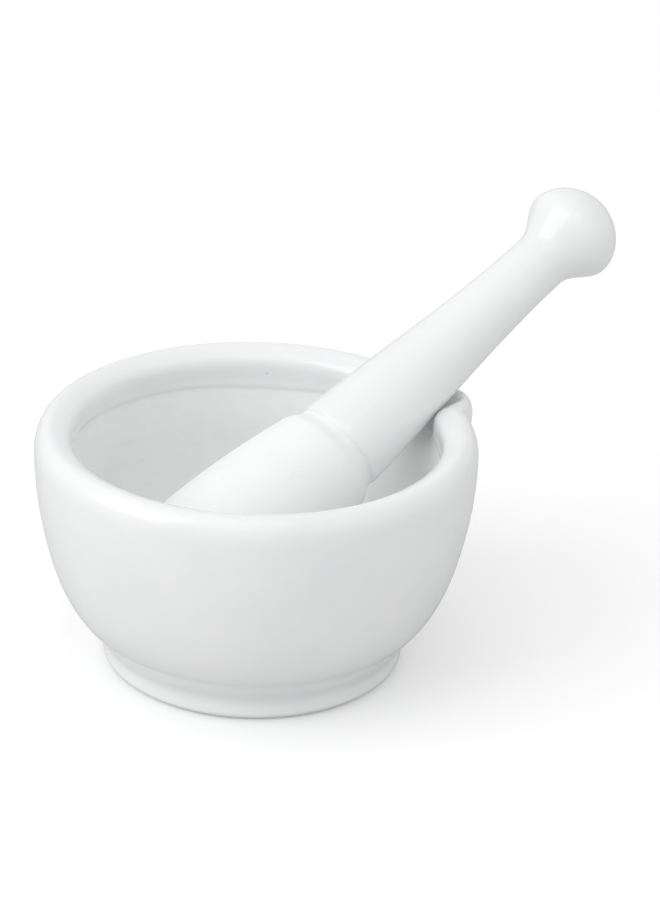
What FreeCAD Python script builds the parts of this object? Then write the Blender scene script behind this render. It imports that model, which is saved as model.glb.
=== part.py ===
import FreeCAD, Part
import math
import os

# A porcelain mortar with its pestle leaning in it, as it stands on a bench. Millimetres.
# Origin: on the bowl's axis, in the plane that the foot stands on.
# +Z is up the bowl's axis. +X points out through the pouring spout.

Vector = FreeCAD.Vector
ORIGIN = Vector(0, 0, 0)
LENGTHWISE = Vector(1, 0, 0)
SIDEWAYS = Vector(0, 1, 0)
UP = Vector(0, 0, 1)

# ---- mortar: driving dimensions ----
BOWL_RADIUS = 65.0          # widest outside radius, just under the rim
WIDEST_HEIGHT = 65.2        # height of that widest circle
RIM_HEIGHT = 73.5           # crest of the rim
RIM_CREST_RADIUS = 61.2     # radius of the crest
MOUTH_RADIUS = 54.8         # inner edge of the rim
MOUTH_DROP = 2.9            # how far that inner edge lies below the crest
FLOOR_HEIGHT = 13.0         # inside floor at the middle
FOOT_RADIUS = 44.9          # foot ring, at its widest
FOOT_HEIGHT = 8.2           # crease between the foot and the wall
FOOT_EDGE_RADIUS = 2.0      # rounded edges of the standing ring
FOOT_RING_WIDTH = 8.0       # width of the ring that the bowl stands on
FOOT_RECESS_DEPTH = 2.6     # underside, inside the ring
FOOT_RECESS_SLOPE = 3.0     # run of the slope up to the underside

# ---- pouring spout, pulled out of the rim along +X ----
# The outside swells gently. The inside is a narrower groove that thins the lip.
SPOUT_OUTER_ANGLE = 18.5    # degrees either side of +X
SPOUT_INNER_ANGLE = 16.8
SPOUT_OUTER_REACH = 7.8     # how far the lip is pulled out
SPOUT_INNER_REACH = 12.5
SPOUT_OUTER_DEPTH = 30.0    # depth below the rim at which the pull has faded out
SPOUT_INNER_DEPTH = 18.0
SPOUT_OUTER_DIP = 3.0       # how far the rim sinks at the middle of the spout
SPOUT_INNER_DIP = 3.6
SPOUT_DIP_DEPTH = 22.0      # depth below the rim at which the sinking has faded out
SPOUT_OUTER_SHARPNESS = 2.0 # power of the cosine across the spout
SPOUT_INNER_SHARPNESS = 3.6
SPOUT_GRID_ANGLE = 2.0      # degrees between the lip's control points
SPOUT_GRID_ROWS = 44        # rows of control points over the rim

# ---- pestle: driving dimensions, distances measured from the crease above its head ----
HEAD_LENGTH = 68.4          # crease to the end of the grinding face
HEAD_DOME_LENGTH = 15.0     # depth of the domed grinding face
HEAD_RADIUS = 22.7          # where the dome meets the head's side
HEAD_TOP_RADIUS = 17.1      # where the head's side rounds into the crease
HEAD_TOP_DISTANCE = 5.6
CREASE_RADIUS = 14.5
HANDLE_START_RADIUS = 14.8  # handle just past the crease
HANDLE_START_DISTANCE = 3.0
NECK_RADIUS = 9.1
NECK_DISTANCE = 88.0        # crease to the neck under the knob
KNOB_RADIUS = 15.1
KNOB_DISTANCE = 101.5       # crease to the knob's widest circle
KNOB_END_DISTANCE = 114.5   # crease to the top of the knob

# ---- how the pestle leans in the bowl ----
CREASE_CENTRE = Vector(24.6, -4.1, 62.5)
PESTLE_HEADING = 8.6        # degrees from +X, seen from above
PESTLE_RISE = 28.7          # degrees above the horizontal


def smooth_edge(points, start_tangent, end_tangent):
    """A smooth edge through the points, with its direction set at both ends."""
    curve = Part.BSplineCurve()
    curve.interpolate(Points=points, InitialTangent=start_tangent, FinalTangent=end_tangent)
    return curve.toShape()


def arc_edge(start, middle, end):
    """A circular arc through three points."""
    return Part.Arc(start, middle, end).toShape()


def line_edge(start, end):
    """A straight edge."""
    return Part.makeLine(start, end)


def section_point(radius, height):
    """A point of the bowl's section, drawn on the side away from the spout."""
    return Vector(-radius, 0, height)


def spin_bowl(edges):
    """The faces that section edges sweep about the bowl's axis."""
    return Part.Wire(edges).revolve(ORIGIN, UP, 360).Faces


def fade_in(share):
    """Rises smoothly from 0 to 1 as share goes from 0 to 1."""
    share = min(max(share, 0.0), 1.0)
    return share * share * (3.0 - 2.0 * share)


def inward_share(radius, height):
    """From 0 on the outside of the rim to 1 on the inside."""
    share = (BOWL_RADIUS - radius) / (BOWL_RADIUS - MOUTH_RADIUS)
    if height < WIDEST_HEIGHT:
        share = round(share)
    return min(max(share, 0.0), 1.0)


def between(outer, inner, share):
    """A value that goes from outer to inner as share goes from 0 to 1."""
    return outer + (inner - outer) * share


def pulled_point(point):
    """Where a point of the plain round rim goes when the spout is pulled."""
    radius = math.hypot(point.x, point.y)
    angle = math.degrees(math.atan2(point.y, point.x))
    inward = inward_share(radius, point.z)
    half_angle = between(SPOUT_OUTER_ANGLE, SPOUT_INNER_ANGLE, inward)
    if abs(angle) >= half_angle:
        return point
    sharpness = between(SPOUT_OUTER_SHARPNESS, SPOUT_INNER_SHARPNESS, inward)
    across = math.cos(math.radians(90.0 * angle / half_angle)) ** sharpness
    depth = RIM_HEIGHT - point.z
    pull_depth = between(SPOUT_OUTER_DEPTH, SPOUT_INNER_DEPTH, inward)
    pull = between(SPOUT_OUTER_REACH, SPOUT_INNER_REACH, inward) * across * fade_in(1.0 - depth / pull_depth)
    dip = between(SPOUT_OUTER_DIP, SPOUT_INNER_DIP, inward) * across * fade_in(1.0 - depth / SPOUT_DIP_DEPTH)
    stretch = (radius + pull) / radius
    return Vector(point.x * stretch, point.y * stretch, point.z - dip)


def add_spout(face):
    """The rim's face with its control points pulled out into the spout."""
    surface = face.toNurbs().Faces[0].Surface
    first, last, low, high = surface.bounds()
    opposite = (first + last) / 2.0
    step = math.radians(SPOUT_GRID_ANGLE)
    count = int(SPOUT_OUTER_ANGLE / SPOUT_GRID_ANGLE) + 1
    around = [opposite + step * index for index in range(-count, count + 1)]
    surface.insertUKnots(around, [1] * len(around), 1e-6, False)
    rows = [low + (high - low) * index / SPOUT_GRID_ROWS for index in range(1, SPOUT_GRID_ROWS)]
    surface.insertVKnots(rows, [1] * len(rows), 1e-9, False)
    for row, poles in enumerate(surface.getPoles(), start=1):
        for column, pole in enumerate(poles, start=1):
            surface.setPole(row, column, pulled_point(pole))
    return surface.toShape()


def section_curve():
    """The bowl's section, from the middle of the inside floor over the rim to the foot's crease."""
    inside = [(0.0, FLOOR_HEIGHT), (14.0, 13.8), (26.0, 17.0), (37.0, 23.8), (45.3, 33.0)]
    rim = [
        (49.7, 41.0),
        (53.0, 54.0),
        (MOUTH_RADIUS - 0.4, 65.0),
        (MOUTH_RADIUS, RIM_HEIGHT - MOUTH_DROP),
        (57.4, 72.7),
        (RIM_CREST_RADIUS, RIM_HEIGHT),
        (64.1, 70.7),
        (BOWL_RADIUS, WIDEST_HEIGHT),
        (64.4, 54.0),
    ]
    outside = [(62.3, 41.0), (58.6, 27.8), (52.0, 15.9), (FOOT_RADIUS + 0.6, FOOT_HEIGHT)]
    points = [section_point(radius, height) for radius, height in inside + rim + outside]
    curve = Part.BSplineCurve()
    curve.interpolate(Points=points, InitialTangent=Vector(-1, 0, 0), FinalTangent=Vector(0.6, 0, -1))
    pull_start = curve.parameter(points[len(inside) - 1])
    pull_end = curve.parameter(points[len(inside) + len(rim)])
    return curve, pull_start, pull_end


def foot_edges():
    """Section of the foot, from its crease to the middle of the underside."""
    round_off = FOOT_EDGE_RADIUS
    corner = round_off * (1.0 - math.sqrt(0.5))
    outer = FOOT_RADIUS
    inner = FOOT_RADIUS - FOOT_RING_WIDTH
    crease = section_point(outer + 0.6, FOOT_HEIGHT)
    waist = section_point(outer - 0.5, FOOT_HEIGHT * 0.62)
    side = section_point(outer, round_off)
    ring_outer = section_point(outer - round_off, 0)
    ring_inner = section_point(inner + round_off, 0)
    recess_low = section_point(inner, round_off)
    recess_high = section_point(inner - FOOT_RECESS_SLOPE, FOOT_RECESS_DEPTH)
    middle = section_point(0, FOOT_RECESS_DEPTH)
    return [
        arc_edge(crease, waist, side),
        arc_edge(side, section_point(outer - corner, corner), ring_outer),
        line_edge(ring_outer, ring_inner),
        arc_edge(ring_inner, section_point(inner + corner, corner), recess_low),
        line_edge(recess_low, recess_high),
        line_edge(recess_high, middle),
    ]


def make_mortar():
    """The bowl, its rim, spout and foot ring: one piece of porcelain."""
    curve, pull_start, pull_end = section_curve()
    inside = spin_bowl([curve.toShape(curve.FirstParameter, pull_start)])
    rim = spin_bowl([curve.toShape(pull_start, pull_end)])
    outside = spin_bowl([curve.toShape(pull_end, curve.LastParameter)])
    lip = add_spout(rim[0])
    shell = Part.makeShell(inside + [lip] + outside + spin_bowl(foot_edges()))
    shell.sewShape()
    mortar = Part.makeSolid(shell)
    if mortar.Volume < 0:
        mortar.reverse()
    return mortar


def pestle_point(distance, radius):
    """A point of the pestle's section, drawn with its length along +X."""
    return Vector(distance, 0, radius)


def head_edges(crease):
    """Section of the head: the domed grinding face, the flaring side and the rounded shoulder."""
    dome_start = HEAD_DOME_LENGTH - HEAD_LENGTH
    end = pestle_point(-HEAD_LENGTH, 0)
    widest = pestle_point(dome_start, HEAD_RADIUS)
    shoulder = pestle_point(-HEAD_TOP_DISTANCE, HEAD_TOP_RADIUS)
    halfway = pestle_point(-HEAD_LENGTH + 0.32 * HEAD_DOME_LENGTH, 0.73 * HEAD_RADIUS)
    dome = smooth_edge([end, halfway, widest], Vector(0, 0, 1), Vector(1, 0, 0.25))
    side = smooth_edge([widest, shoulder], Vector(1, 0, -0.02), Vector(1, 0, -0.2))
    rounding = smooth_edge([shoulder, crease], Vector(1, 0, -0.2), Vector(1, 0, 0))
    return [dome, side, rounding]


def knob_edges(neck):
    """Section of the knob: the hollow of the neck, the round side and the domed top."""
    widest = pestle_point(KNOB_DISTANCE, KNOB_RADIUS)
    underside = pestle_point(KNOB_DISTANCE - 7.0, KNOB_RADIUS - 3.4)
    end = pestle_point(KNOB_END_DISTANCE, 0)
    dome_side = pestle_point(KNOB_END_DISTANCE - 4.0, 0.7 * KNOB_RADIUS)
    hollow = smooth_edge([neck, underside, widest], Vector(1, 0, 0), Vector(1, 0, 0))
    dome = smooth_edge([widest, dome_side, end], Vector(1, 0, 0), Vector(0, 0, -1))
    return [hollow, dome]


def make_pestle():
    """Head, crease, handle and knob: one piece of porcelain, round about its own length."""
    crease = pestle_point(0, CREASE_RADIUS)
    handle_start = pestle_point(HANDLE_START_DISTANCE, HANDLE_START_RADIUS)
    neck = pestle_point(NECK_DISTANCE, NECK_RADIUS)
    lead_in = smooth_edge([crease, handle_start], Vector(1, 0, 0), Vector(1, 0, -0.06))
    handle = smooth_edge([handle_start, neck], Vector(1, 0, -0.06), Vector(1, 0, 0))
    section = Part.Wire(head_edges(crease) + [lead_in, handle] + knob_edges(neck))
    shell = Part.makeShell(section.revolve(ORIGIN, LENGTHWISE, 360).Faces)
    shell.sewShape()
    pestle = Part.makeSolid(shell)
    if pestle.Volume < 0:
        pestle.reverse()
    pestle.rotate(ORIGIN, SIDEWAYS, -PESTLE_RISE)
    pestle.rotate(ORIGIN, UP, PESTLE_HEADING)
    pestle.translate(CREASE_CENTRE)
    return pestle


def main():
    """Builds each piece and writes it under its own name."""
    os.makedirs("parts", exist_ok=True)
    pieces = {"mortar": make_mortar(), "pestle": make_pestle()}
    for name, solid in pieces.items():
        solid.exportStep(f"parts/{name}.step")
        print(name, "valid", solid.isValid(), "volume", round(solid.Volume))


main()
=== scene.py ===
import bpy
import math
import numpy as np
from mathutils import Matrix, Vector, noise


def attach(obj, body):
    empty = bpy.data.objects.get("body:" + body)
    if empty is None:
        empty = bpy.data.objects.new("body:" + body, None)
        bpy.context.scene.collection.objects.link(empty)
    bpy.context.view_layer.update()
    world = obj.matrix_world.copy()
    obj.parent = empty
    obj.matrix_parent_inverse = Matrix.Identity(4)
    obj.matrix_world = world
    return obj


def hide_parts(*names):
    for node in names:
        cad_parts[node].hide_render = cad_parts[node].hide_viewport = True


# A white porcelain mortar with its pestle leaning in it, on a plain pale floor.
# The scene is in metres. +Z is up the bowl's axis and +X points out through the spout.

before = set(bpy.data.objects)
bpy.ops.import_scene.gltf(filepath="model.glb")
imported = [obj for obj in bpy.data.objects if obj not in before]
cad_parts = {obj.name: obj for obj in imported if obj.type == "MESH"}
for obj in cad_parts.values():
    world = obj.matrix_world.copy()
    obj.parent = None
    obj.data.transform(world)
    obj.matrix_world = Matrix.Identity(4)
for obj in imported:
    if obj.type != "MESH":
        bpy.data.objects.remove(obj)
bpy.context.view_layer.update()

MM = 0.001
INSIDE_CAD = 0.9985  # keeps the fine meshes inside the faceted CAD ones

# ---- mortar, millimetres; the bowl stands on z = 0 ----
BOWL_RADIUS = 65.0
WIDEST_HEIGHT = 65.2
RIM_HEIGHT = 73.5
RIM_CREST_RADIUS = 61.2
MOUTH_RADIUS = 54.8
MOUTH_DROP = 2.9
FLOOR_HEIGHT = 13.0
FOOT_RADIUS = 44.9
FOOT_HEIGHT = 8.2
FOOT_EDGE_RADIUS = 2.0
FOOT_RING_WIDTH = 8.0
FOOT_RECESS_DEPTH = 2.6
FOOT_RECESS_SLOPE = 3.0

# ---- pouring spout, millimetres and degrees, each on the outside and on the inside ----
SPOUT_ANGLE = (18.5, 16.8)
SPOUT_REACH = (7.8, 12.5)
SPOUT_DEPTH = (30.0, 18.0)
SPOUT_DIP = (3.0, 3.6)
SPOUT_SHARPNESS = (2.0, 3.6)
SPOUT_DIP_DEPTH = 22.0

# ---- pestle, millimetres along its own length from the crease, and degrees ----
HEAD_LENGTH = 68.4
HEAD_DOME_LENGTH = 15.0
HEAD_RADIUS = 22.7
HEAD_TOP_RADIUS = 17.1
HEAD_TOP_DISTANCE = 5.6
CREASE_RADIUS = 14.5
HANDLE_START_RADIUS = 14.8
HANDLE_START_DISTANCE = 3.0
NECK_RADIUS = 9.1
NECK_DISTANCE = 88.0
KNOB_RADIUS = 15.1
KNOB_DISTANCE = 101.5
KNOB_END_DISTANCE = 114.5
CREASE_CENTRE = Vector((24.6, -4.1, 62.5))
PESTLE_HEADING = 8.6
PESTLE_RISE = 28.7

# ---- glaze, millimetres and degrees from +X ----
GLAZE_THICKNESS = 0.16
GLAZE_EDGE_WIDTH = 1.6  # over which the glaze thins to nothing
GLAZE_BEAD = 0.04  # extra thickness just behind that edge
GLAZE_LINE_DEPTH = 10.0  # from the rim's crest down the inside to the glaze's edge
GLAZE_SAG = 2.4  # how much lower that line runs round the back
GLAZE_SAG_ANGLE = 55.0
GLAZE_SAG_SPREAD = 48.0
GLAZE_DRIP = 1.6  # how much lower it runs on each side of the spout
GLAZE_DRIP_ANGLE = 24.0
GLAZE_DRIP_SPREAD = 6.0
FOOT_BARE_HEIGHT = 0.6  # above the bench, where the glaze was wiped off the foot
HEAD_GLAZE_LINE = 0.4  # from the crease along the handle to the glaze's edge

# ---- the slight unevenness of hand-finished pieces, millimetres ----
BOWL_SWELL = 0.10
PESTLE_SWELL = 0.07

# ---- mesh density ----
AROUND_BOWL = 320
AROUND_PESTLE = 160
BOWL_ROWS = 260


# ---------------------------------------------------------------- curves

def spline(points, start_direction, end_direction, steps):
    """Points along the smooth curve through the given ones, its direction set at both ends."""
    knots = np.array(points, float)
    spans = np.linalg.norm(np.diff(knots, axis=0), axis=1)
    count = len(knots)
    system = np.zeros((count, count))
    target = np.zeros((count, 2))
    start = np.array(start_direction, float) / np.linalg.norm(start_direction)
    end = np.array(end_direction, float) / np.linalg.norm(end_direction)
    slopes = np.diff(knots, axis=0) / spans[:, None]
    system[0, 0:2] = 2 * spans[0], spans[0]
    target[0] = 6 * (slopes[0] - start)
    system[-1, -2:] = spans[-1], 2 * spans[-1]
    target[-1] = 6 * (end - slopes[-1])
    for i in range(1, count - 1):
        system[i, i - 1:i + 2] = spans[i - 1], 2 * (spans[i - 1] + spans[i]), spans[i]
        target[i] = 6 * (slopes[i] - slopes[i - 1])
    bends = np.linalg.solve(system, target)
    along = np.concatenate([[0.0], np.cumsum(spans)])
    out = []
    for place in np.linspace(0.0, along[-1], steps):
        i = min(int(np.searchsorted(along, place, side="right")) - 1, count - 2)
        h = spans[i]
        left = along[i + 1] - place
        right = place - along[i]
        out.append(
            bends[i] * left**3 / (6 * h)
            + bends[i + 1] * right**3 / (6 * h)
            + (knots[i] / h - bends[i] * h / 6) * left
            + (knots[i + 1] / h - bends[i + 1] * h / 6) * right
        )
    return np.array(out)


def arc(centre, radius, start_degrees, end_degrees, steps):
    """Points along a circular arc."""
    angles = np.radians(np.linspace(start_degrees, end_degrees, steps))
    return np.array(centre) + radius * np.stack([np.cos(angles), np.sin(angles)], axis=1)


def bell(place, middle, spread):
    """A smooth bump of height 1 around the middle."""
    return np.exp(-((place - middle) / spread) ** 2)


def join(*runs):
    """One run of points from several, each starting where the last one ended."""
    return np.concatenate([runs[0]] + [run[1:] for run in runs[1:]])


def lengths(run):
    """Distance along a run at each of its points."""
    return np.concatenate([[0.0], np.cumsum(np.linalg.norm(np.diff(run, axis=0), axis=1))])


def normals(run):
    """Unit normals of a run, to the right of its direction."""
    along = np.gradient(run, axis=0)
    side = np.stack([along[:, 1], -along[:, 0]], axis=1)
    return side / np.linalg.norm(side, axis=1)[:, None]


def fade(share):
    """Rises smoothly from 0 to 1 as share goes from 0 to 1."""
    share = np.clip(share, 0.0, 1.0)
    return share * share * (3.0 - 2.0 * share)


# ---------------------------------------------------------------- the mortar's shape

def bowl_curve():
    """Radius and height along the bowl, from the inside floor over the rim to the foot's crease."""
    points = [
        (0.0, FLOOR_HEIGHT), (14.0, 13.8), (26.0, 17.0), (37.0, 23.8), (45.3, 33.0), (49.7, 41.0),
        (53.0, 54.0), (MOUTH_RADIUS - 0.4, 65.0), (MOUTH_RADIUS, RIM_HEIGHT - MOUTH_DROP),
        (57.4, 72.7), (RIM_CREST_RADIUS, RIM_HEIGHT), (64.1, 70.7), (BOWL_RADIUS, WIDEST_HEIGHT),
        (64.4, 54.0), (62.3, 41.0), (58.6, 27.8), (52.0, 15.9), (FOOT_RADIUS + 0.6, FOOT_HEIGHT),
    ]
    return spline(points, (1, 0), (-0.6, -1), BOWL_ROWS)


def foot_curve():
    """Radius and height along the foot, from its crease to the middle of the underside."""
    edge = FOOT_EDGE_RADIUS
    outer = FOOT_RADIUS
    inner = FOOT_RADIUS - FOOT_RING_WIDTH
    waist = (outer - 0.5, FOOT_HEIGHT * 0.62)
    side = spline([(outer + 0.6, FOOT_HEIGHT), waist, (outer, edge)], (-0.6, -1), (0.05, -1), 14)
    ring = np.linspace((outer - edge, 0.0), (inner + edge, 0.0), 8)
    recess_high = (inner - FOOT_RECESS_SLOPE, FOOT_RECESS_DEPTH)
    slope = np.linspace((inner, edge), recess_high, 4)
    underside = np.linspace(recess_high, (0.0, FOOT_RECESS_DEPTH), 24)
    outer_edge = arc((outer - edge, edge), edge, 0, -90, 8)
    inner_edge = arc((inner + edge, edge), edge, -90, -180, 8)
    return join(side, outer_edge, ring, inner_edge, slope, underside)


def between(outer_and_inner, share):
    """A value that goes from outer to inner as share goes from 0 to 1."""
    outer, inner = outer_and_inner
    return outer + (inner - outer) * share


def pull_spout(radius, angle, height):
    """Where the points of the plain round rim go when the spout is pulled."""
    inward = (BOWL_RADIUS - radius) / (BOWL_RADIUS - MOUTH_RADIUS)
    inward = np.clip(np.where(height < WIDEST_HEIGHT, np.round(inward), inward), 0.0, 1.0)
    half_angle = between(SPOUT_ANGLE, inward)
    wave = np.cos(np.radians(90.0 * np.clip(angle / half_angle, -1.0, 1.0)))
    wave = np.maximum(wave, 0.0) ** between(SPOUT_SHARPNESS, inward)
    depth = RIM_HEIGHT - height
    pull = between(SPOUT_REACH, inward) * wave * fade(1.0 - depth / between(SPOUT_DEPTH, inward))
    dip = between(SPOUT_DIP, inward) * wave * fade(1.0 - depth / SPOUT_DIP_DEPTH)
    return radius + pull, height - dip


def waver(angles, seed, rate, octaves=2):
    """A smooth closed wavering from about -1 to 1, one value for each angle in degrees."""
    turns = np.radians(angles)
    places = [Vector((rate * math.cos(turn), rate * math.sin(turn), seed)) for turn in turns]
    return np.array([noise.fractal(place, 1.0, 2.0, octaves) for place in places])


def glaze_relief(offset):
    """The surface's height, from full glaze at 0 down to bare clay, at a distance past the glaze's edge."""
    step = GLAZE_THICKNESS * fade(offset / GLAZE_EDGE_WIDTH + 0.5)
    bead = GLAZE_BEAD * bell(offset, 1.3, 0.7)
    return step + bead - GLAZE_THICKNESS


def add_rows(run, places, half_width, count):
    """The run with more points close to each place along it."""
    along = lengths(run)
    extra = [np.linspace(place - half_width, place + half_width, count) for place in places]
    stations = np.unique(np.round(np.concatenate([along, *extra]), 4))
    stations = stations[(stations >= 0) & (stations <= along[-1])]
    return np.stack([np.interp(stations, along, run[:, 0]), np.interp(stations, along, run[:, 1])], axis=1)


def tag_glaze(piece, ring_edge_shade, bare_rows, around, bare_end):
    """Marks the painted shade along the glaze's edge ring by ring and gives rows of bare clay their own
    material slot.
    """
    point_edge_shade = np.concatenate([np.repeat(ring_edge_shade, around), [0.0, 0.0]])
    # the mask for the painted shade along the glaze's edge
    edge = piece.data.attributes.new("glaze_edge_shade", "FLOAT", "POINT")
    edge.data.foreach_set("value", point_edge_shade.astype(np.float32))
    bare = np.repeat(np.concatenate([bare_rows, [True, bare_end]]), around)
    piece.data.polygons.foreach_set("material_index", bare.astype(np.int32))


def shifted_stations(along, inside_line, foot_line, angles):
    """Where each vertex samples the run: moved near both glaze edges, so that they wander."""
    inside_shift = 0.45 * waver(angles, 3.0, 1.6) + 0.12 * waver(angles, 8.0, 9.0)
    inside_shift = inside_shift - GLAZE_DRIP * bell(np.abs(angles), GLAZE_DRIP_ANGLE, GLAZE_DRIP_SPREAD)
    inside_shift = inside_shift - GLAZE_SAG * bell(angles, GLAZE_SAG_ANGLE, GLAZE_SAG_SPREAD)
    foot_shift = 0.20 * waver(angles, 5.0, 2.2) + 0.08 * waver(angles, 6.0, 12.0)
    column = along[:, None]
    return column + inside_shift * bell(column, inside_line, 6.0) + foot_shift * bell(column, foot_line, 1.2)


def mortar_places(run, inside_line, foot_line, crest_length):
    """Rings of places over the whole bowl, with the spout pulled, in millimetres."""
    along = lengths(run)
    angles = np.linspace(-180.0, 180.0, AROUND_BOWL, endpoint=False)
    station = shifted_stations(along, inside_line, foot_line, angles)
    radius = np.interp(station, along, run[:, 0])
    height = np.interp(station, along, run[:, 1])
    outside = along > crest_length
    foot_relief = glaze_relief(foot_line - along) * fade((foot_line + 3.0 - along) / 2.0)
    relief = np.where(outside, foot_relief, glaze_relief(along - inside_line))
    higher = fade((run[:, 1] - 12.0) / 40.0) * np.where(outside, 1.0, 0.6)
    swell = BOWL_SWELL * waver(angles, 1.0, 1.1, 3)[None, :] * higher[:, None]
    side = normals(run)
    radius = radius - side[:, 0:1] * relief[:, None] + swell - BOWL_SWELL
    height = height - side[:, 1:2] * relief[:, None]
    angle = np.repeat(angles[None, :], len(run), axis=0)
    radius, height = pull_spout(np.maximum(radius, 0.05), angle, height)
    turn = np.radians(angle)
    east, north = radius * np.cos(turn) * INSIDE_CAD, radius * np.sin(turn) * INSIDE_CAD
    return np.stack([east, north, np.maximum(height, 0.0)], axis=2)


def make_mortar():
    """The whole bowl as one closed mesh: glazed, but bare inside below the rim and under the foot."""
    bowl = bowl_curve()
    crest = int(np.argmax(bowl[:, 1]))
    inside_line = np.interp(RIM_HEIGHT - GLAZE_LINE_DEPTH, bowl[:crest, 1], lengths(bowl)[:crest])
    foot_line = lengths(bowl)[-1] + FOOT_HEIGHT - FOOT_BARE_HEIGHT
    run = add_rows(join(bowl, foot_curve()), (inside_line, foot_line), 2.4, 33)
    places = mortar_places(run, inside_line, foot_line, lengths(bowl)[crest])
    piece = lathe_mesh("mortar_bowl", places[1:-1], (0, 0, run[0, 1]), (0, 0, run[-1, 1]))
    along = lengths(run)[1:-1]
    # where painted shade darkens the glaze's edge, inside the bowl and round the foot
    edge_shade_mask = bell(along, inside_line, 0.75) + 0.6 * bell(along, foot_line, 0.25)
    middles = (along[1:] + along[:-1]) / 2
    tag_glaze(piece, edge_shade_mask, (middles < inside_line) | (middles > foot_line), AROUND_BOWL, True)
    return piece


def lathe_mesh(name, places, first_pole, last_pole):
    """A closed mesh from rings of places, with a pole at each end. Places are in millimetres."""
    rows, around = places.shape[:2]
    points = np.concatenate([places.reshape(-1, 3), [first_pole], [last_pole]]) * MM
    ring = np.arange(rows * around).reshape(rows, around)
    ahead = np.roll(ring, -1, axis=1)
    quads = np.stack([ring[:-1], ahead[:-1], ahead[1:], ring[1:]], axis=2).reshape(-1, 4)
    start, end = rows * around, rows * around + 1
    first_fan = [(start, int(b), int(a)) for a, b in zip(ring[0], ahead[0])]
    last_fan = [(end, int(a), int(b)) for a, b in zip(ring[-1], ahead[-1])]
    mesh = bpy.data.meshes.new(name)
    mesh.from_pydata(points.tolist(), [], quads.tolist() + first_fan + last_fan)
    mesh.shade_smooth()
    mesh.update()
    piece = bpy.data.objects.new(name, mesh)
    bpy.context.scene.collection.objects.link(piece)
    return piece


# ---------------------------------------------------------------- the pestle's shape

def pestle_curve():
    """Distance and radius along the pestle, from the grinding face to the top of the knob."""
    widest = (HEAD_DOME_LENGTH - HEAD_LENGTH, HEAD_RADIUS)
    halfway = (-HEAD_LENGTH + 0.32 * HEAD_DOME_LENGTH, 0.73 * HEAD_RADIUS)
    shoulder = (-HEAD_TOP_DISTANCE, HEAD_TOP_RADIUS)
    crease = (0.0, CREASE_RADIUS)
    handle_start = (HANDLE_START_DISTANCE, HANDLE_START_RADIUS)
    neck = (NECK_DISTANCE, NECK_RADIUS)
    underside = (KNOB_DISTANCE - 7.0, KNOB_RADIUS - 3.4)
    knob_side = (KNOB_DISTANCE, KNOB_RADIUS)
    dome_side = (KNOB_END_DISTANCE - 4.0, 0.7 * KNOB_RADIUS)
    return join(
        spline([(-HEAD_LENGTH, 0.0), halfway, widest], (0, 1), (1, 0.25), 36),
        spline([widest, shoulder], (1, -0.02), (1, -0.2), 40),
        spline([shoulder, crease], (1, -0.2), (1, 0), 14),
        spline([crease, handle_start], (1, 0), (1, -0.06), 8),
        spline([handle_start, neck], (1, -0.06), (1, 0), 60),
        spline([neck, underside, knob_side], (1, 0), (1, 0), 24),
        spline([knob_side, dome_side, (KNOB_END_DISTANCE, 0.0)], (1, 0), (0, -1), 28),
    )


def pestle_places(run, line, origin, axis, heading):
    """Rings of places over the whole pestle, leaning in the bowl, in millimetres."""
    along = lengths(run)
    angles = np.linspace(0.0, 360.0, AROUND_PESTLE, endpoint=False)
    shift = 0.22 * waver(angles, 11.0, 1.4) + 0.07 * waver(angles, 12.0, 7.0)
    station = along[:, None] + shift * bell(along[:, None], line, 2.5)
    distance = np.interp(station, along, run[:, 0])
    radius = np.interp(station, along, run[:, 1])
    swell = PESTLE_SWELL * (waver(angles, 14.0, 0.8, 2)[None, :] * np.sin(along / 17.0)[:, None])
    relief = glaze_relief(along - line)[:, None]
    radius = radius - PESTLE_SWELL + (relief + swell) * fade(radius / 6.0)
    across = np.array([-math.sin(heading), math.cos(heading), 0.0])
    over = np.cross(axis, across)
    turn = np.radians(angles)
    rim = np.cos(turn)[:, None] * across + np.sin(turn)[:, None] * over
    return origin + distance[:, :, None] * axis + np.maximum(radius, 0.03)[:, :, None] * rim[None]


def make_pestle():
    """The whole pestle as one closed mesh, leaning in the bowl: its head is bare clay."""
    run = pestle_curve()
    line = lengths(run)[int(np.argmin(np.abs(run[:, 0] - HEAD_GLAZE_LINE)))]
    run = add_rows(run, (line,), 1.8, 29)
    heading, rise = math.radians(PESTLE_HEADING), math.radians(PESTLE_RISE)
    axis = np.array([math.cos(rise) * math.cos(heading), math.cos(rise) * math.sin(heading), math.sin(rise)])
    origin = np.array(CREASE_CENTRE)
    places = pestle_places(run, line, origin, axis, heading)
    head_end, knob_end = (tuple(origin + end * axis) for end in (run[0, 0], run[-1, 0]))
    piece = lathe_mesh("pestle_rod", places[1:-1], head_end, knob_end)
    along = lengths(run)[1:-1]
    # bell(along, line, 0.6) masks the painted shade along the glaze's edge by the head
    tag_glaze(piece, bell(along, line, 0.6), (along[1:] + along[:-1]) / 2 < line, AROUND_PESTLE, False)
    return piece


# ---------------------------------------------------------------- materials

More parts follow.
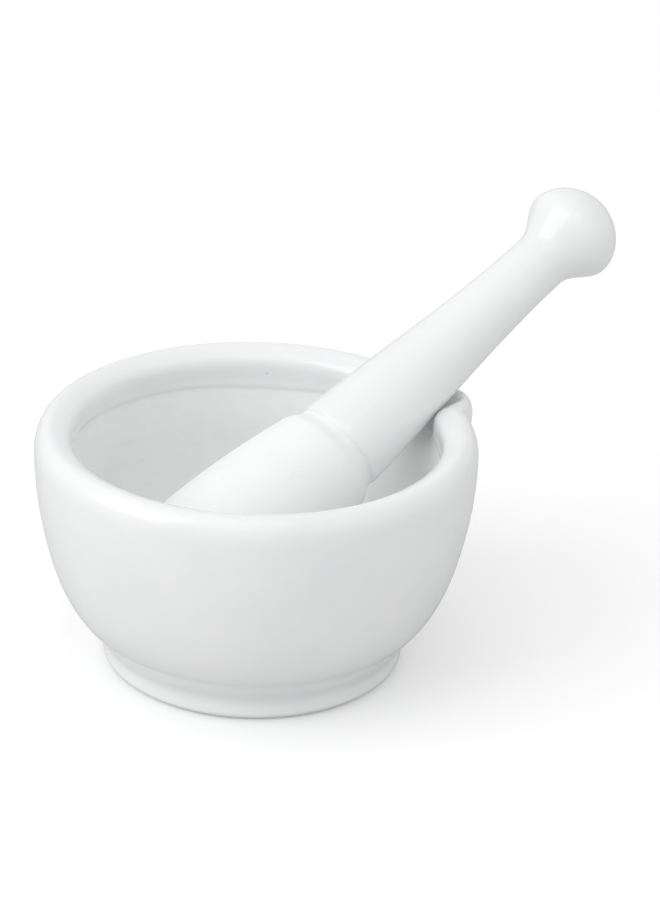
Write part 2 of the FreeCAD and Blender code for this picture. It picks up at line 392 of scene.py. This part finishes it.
class Nodes:
    """Short names for building a material's nodes."""

    def __init__(self, name):
        self.material = bpy.data.materials.new(name)
        self.material.use_nodes = True
        self.tree = self.material.node_tree
        self.shader = self.tree.nodes["Principled BSDF"]
        self.place = self.tree.nodes.new("ShaderNodeTexCoord").outputs["Object"]

    def link(self, source, target):
        self.tree.links.new(source, target)

    def set(self, **values):
        for name, value in values.items():
            self.shader.inputs[name.replace("_", " ")].default_value = value

    def noise(self, scale, detail=2.0, roughness=0.5, stretch=None):
        node = self.tree.nodes.new("ShaderNodeTexNoise")
        node.inputs["Scale"].default_value = scale
        node.inputs["Detail"].default_value = detail
        node.inputs["Roughness"].default_value = roughness
        place = self.place
        if stretch:
            mapping = self.tree.nodes.new("ShaderNodeMapping")
            mapping.inputs["Scale"].default_value = stretch
            self.link(place, mapping.inputs["Vector"])
            place = mapping.outputs["Vector"]
        self.link(place, node.inputs["Vector"])
        return node.outputs["Fac"]

    def specks(self, scale, size, share):
        """1 in a few small round spots, 0 elsewhere."""
        node = self.tree.nodes.new("ShaderNodeTexVoronoi")
        node.inputs["Scale"].default_value = scale
        self.link(self.place, node.inputs["Vector"])
        near = self.range(node.outputs["Distance"], size * 0.5, size, 1.0, 0.0)
        chosen = self.tree.nodes.new("ShaderNodeSeparateColor")
        self.link(node.outputs["Color"], chosen.inputs["Color"])
        picked = self.math("LESS_THAN", chosen.outputs["Red"], share)
        return self.math("MULTIPLY", near, picked)

    def range(self, source, low, high, to_low, to_high):
        node = self.tree.nodes.new("ShaderNodeMapRange")
        for name, value in (("From Min", low), ("From Max", high), ("To Min", to_low), ("To Max", to_high)):
            node.inputs[name].default_value = value
        self.link(source, node.inputs["Value"])
        return node.outputs["Result"]

    def math(self, operation, first, second):
        node = self.tree.nodes.new("ShaderNodeMath")
        node.operation = operation
        for socket, value in zip(node.inputs, (first, second)):
            if isinstance(value, (int, float)):
                socket.default_value = value
            else:
                self.link(value, socket)
        return node.outputs["Value"]

    def mix(self, share, first, second):
        node = self.tree.nodes.new("ShaderNodeMix")
        node.data_type = "RGBA"
        self.link(share, node.inputs["Factor"])
        for socket, value in ((node.inputs[6], first), (node.inputs[7], second)):
            if isinstance(value, tuple):
                socket.default_value = (*value, 1.0)
            else:
                self.link(value, socket)
        return node.outputs[2]

    def attribute(self, name):
        node = self.tree.nodes.new("ShaderNodeAttribute")
        node.attribute_name = name
        return node.outputs["Fac"]

    def bump(self, height, distance, strength=1.0, over=None):
        node = self.tree.nodes.new("ShaderNodeBump")
        node.inputs["Strength"].default_value = strength
        node.inputs["Distance"].default_value = distance
        self.link(height, node.inputs["Height"])
        if over:
            self.link(over, node.inputs["Normal"])
        return node.outputs["Normal"]


def paint_edge_shade(n, colour):
    """Darkens the colour a little along the glaze's edge: painted shade, standing in for the shadow line of
    the glaze's small step.
    """
    return n.mix(n.math("MULTIPLY", n.attribute("glaze_edge_shade"), 0.15), colour, (0.50, 0.51, 0.50))


def glaze_material():
    """Clear glaze over white porcelain: cloudy depth, an orange-peel surface, a few pinholes."""
    n = Nodes("glazed_porcelain")
    cloud = n.range(n.noise(38.0, 4.0, 0.55), 0.35, 0.65, 0.0, 1.0)
    colour = n.mix(cloud, (0.880, 0.893, 0.898), (0.908, 0.916, 0.914))
    pits = n.specks(210.0, 0.085, 0.030)
    colour = n.mix(n.math("MULTIPLY", pits, 0.45), colour, (0.46, 0.45, 0.43))
    # painted shade along the glaze's edge, mixed over the glaze's own colour
    n.link(paint_edge_shade(n, colour), n.shader.inputs["Base Color"])
    n.link(n.range(n.noise(75.0, 3.0), 0.3, 0.7, 0.13, 0.21), n.shader.inputs["Roughness"])
    peel = n.bump(n.noise(260.0, 2.0, 0.45), 0.00006, 0.5)
    waves = n.bump(n.noise(62.0, 1.0), 0.0004, 0.35, peel)
    n.link(n.bump(n.math("SUBTRACT", 1.0, pits), 0.0002, 0.6, waves), n.shader.inputs["Normal"])
    n.set(Subsurface_Weight=0.12, Subsurface_Radius=(0.0016, 0.0014, 0.0012), Subsurface_Scale=1.0, IOR=1.52)
    n.set(Coat_Weight=0.35, Coat_Roughness=0.06)
    return n.material


def biscuit_material():
    """Unglazed porcelain: matte, finely gritty, with faint grey rubbing from grinding."""
    n = Nodes("unglazed_porcelain")
    cloud = n.range(n.noise(30.0, 5.0, 0.6), 0.35, 0.65, 0.0, 1.0)
    colour = n.mix(cloud, (0.916, 0.926, 0.926), (0.940, 0.947, 0.945))
    rubbing = n.range(n.noise(85.0, 6.0, 0.7, (1.0, 1.0, 3.5)), 0.52, 0.78, 0.0, 0.30)
    colour = n.mix(rubbing, colour, (0.80, 0.815, 0.82))
    grit = n.specks(900.0, 0.20, 0.05)
    colour = n.mix(n.math("MULTIPLY", grit, 0.30), colour, (0.58, 0.59, 0.59))
    # painted shade along the glaze's edge, mixed over the bare clay's own colour
    n.link(paint_edge_shade(n, colour), n.shader.inputs["Base Color"])
    n.link(n.range(n.noise(160.0, 4.0), 0.3, 0.7, 0.52, 0.72), n.shader.inputs["Roughness"])
    grain = n.bump(n.noise(1900.0, 3.0, 0.6), 0.00008, 0.55)
    n.link(n.bump(n.noise(420.0, 3.0), 0.00012, 0.4, grain), n.shader.inputs["Normal"])
    n.set(Subsurface_Weight=0.10, Subsurface_Radius=(0.0012, 0.0011, 0.0010), Subsurface_Scale=1.0, IOR=1.50)
    return n.material


# ---------------------------------------------------------------- camera, light and floor

VIEW_AZIMUTH = -29.0
VIEW_ELEVATION = math.degrees(0.470)
CAMERA_DISTANCE = 0.900
CAMERA_ROLL = 0.024
CAMERA_LENS = 121.4
AIM_RIGHT = 0.0224
AIM_UP = 0.0274
TARGET = Vector((0.0, 0.0, 0.035))


def make_camera():
    a, e = math.radians(VIEW_AZIMUTH), math.radians(VIEW_ELEVATION)
    back = Vector((math.sin(a) * math.cos(e), -math.cos(a) * math.cos(e), math.sin(e)))
    level = Vector((math.cos(a), math.sin(a), 0.0))
    above = back.cross(level)
    right = level * math.cos(CAMERA_ROLL) + above * math.sin(CAMERA_ROLL)
    up = above * math.cos(CAMERA_ROLL) - level * math.sin(CAMERA_ROLL)
    place = TARGET + back * CAMERA_DISTANCE
    aim = TARGET + right * AIM_RIGHT + up * AIM_UP
    data = bpy.data.cameras.new("camera")
    data.lens = CAMERA_LENS
    data.clip_start = 0.05
    data.clip_end = 50.0
    camera = bpy.data.objects.new("camera", data)
    bpy.context.scene.collection.objects.link(camera)
    look = (aim - place).normalized()
    side = (right - look * right.dot(look)).normalized()
    top = side.cross(look)
    camera.matrix_world = Matrix((
        (side.x, top.x, -look.x, place.x),
        (side.y, top.y, -look.y, place.y),
        (side.z, top.z, -look.z, place.z),
        (0, 0, 0, 1),
    ))
    bpy.context.scene.camera = camera


def make_floor_sheet(name, height, tone):
    """A large flat sheet of one pale tone."""
    half = 6.0
    corners = [(-half, -half, height), (half, -half, height), (half, half, height), (-half, half, height)]
    mesh = bpy.data.meshes.new(name)
    mesh.from_pydata(corners, [], [(0, 1, 2, 3)])
    sheet = bpy.data.objects.new(name, mesh)
    bpy.context.scene.collection.objects.link(sheet)
    material = bpy.data.materials.new(name)
    material.use_nodes = True
    shader = material.node_tree.nodes["Principled BSDF"]
    shader.inputs["Base Color"].default_value = (tone, tone, tone, 1)
    shader.inputs["Roughness"].default_value = 0.9
    shader.inputs["Specular IOR Level"].default_value = 0.2
    mesh.materials.append(material)
    return sheet


def make_floor():
    """The white floor that shows, over a greyer one that sets how much light comes up from below.

    The one that shows glows a little, so that it stays pale in the object's soft shadow.
    """
    shown = make_floor_sheet("floor", height=-0.0002, tone=0.99)
    shown.visible_diffuse = False
    shown.visible_glossy = False
    shown.visible_shadow = False
    shader = shown.data.materials[0].node_tree.nodes["Principled BSDF"]
    shader.inputs["Emission Color"].default_value = (1, 1, 1, 1)
    shader.inputs["Emission Strength"].default_value = 0.10
    below = make_floor_sheet("floor_bounce", height=-0.0006, tone=0.68)
    below.visible_camera = False


def direction(azimuth, elevation):
    """From the object towards a light, azimuth in degrees to the right of the camera."""
    a, e = math.radians(VIEW_AZIMUTH + azimuth), math.radians(elevation)
    return Vector((math.sin(a) * math.cos(e), -math.cos(a) * math.cos(e), math.sin(e)))


def make_softbox(name, azimuth, elevation, distance, size, power):
    """A square area light that looks at the object."""
    data = bpy.data.lights.new(name, "AREA")
    data.size = size
    data.energy = power
    light = bpy.data.objects.new(name, data)
    bpy.context.scene.collection.objects.link(light)
    toward = direction(azimuth, elevation)
    light.location = TARGET + toward * distance
    light.rotation_mode = "QUATERNION"
    light.rotation_quaternion = toward.to_track_quat("Z", "Y")


def make_lights():
    world = bpy.data.worlds.new("studio")
    world.use_nodes = True
    world.node_tree.nodes["Background"].inputs["Color"].default_value = (1, 1, 1, 1)
    world.node_tree.nodes["Background"].inputs["Strength"].default_value = 0.80
    bpy.context.scene.world = world
    bpy.context.scene.view_settings.view_transform = "Standard"
    make_softbox("key", azimuth=-66, elevation=33, distance=2.2, size=1.8, power=14.0)
    make_softbox("front", azimuth=-15, elevation=55, distance=2.0, size=1.8, power=3.5)


# ---------------------------------------------------------------- the scene

make_camera()
make_floor()
make_lights()
glaze = glaze_material()
biscuit = biscuit_material()
mortar = make_mortar()
pestle = make_pestle()
for piece, node, slot in ((mortar, "mortar", "mortar_porcelain"), (pestle, "pestle", "pestle_porcelain")):
    piece.data.materials.append(glaze)
    piece.data.materials.append(biscuit)
    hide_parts(node)
    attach(piece, node)
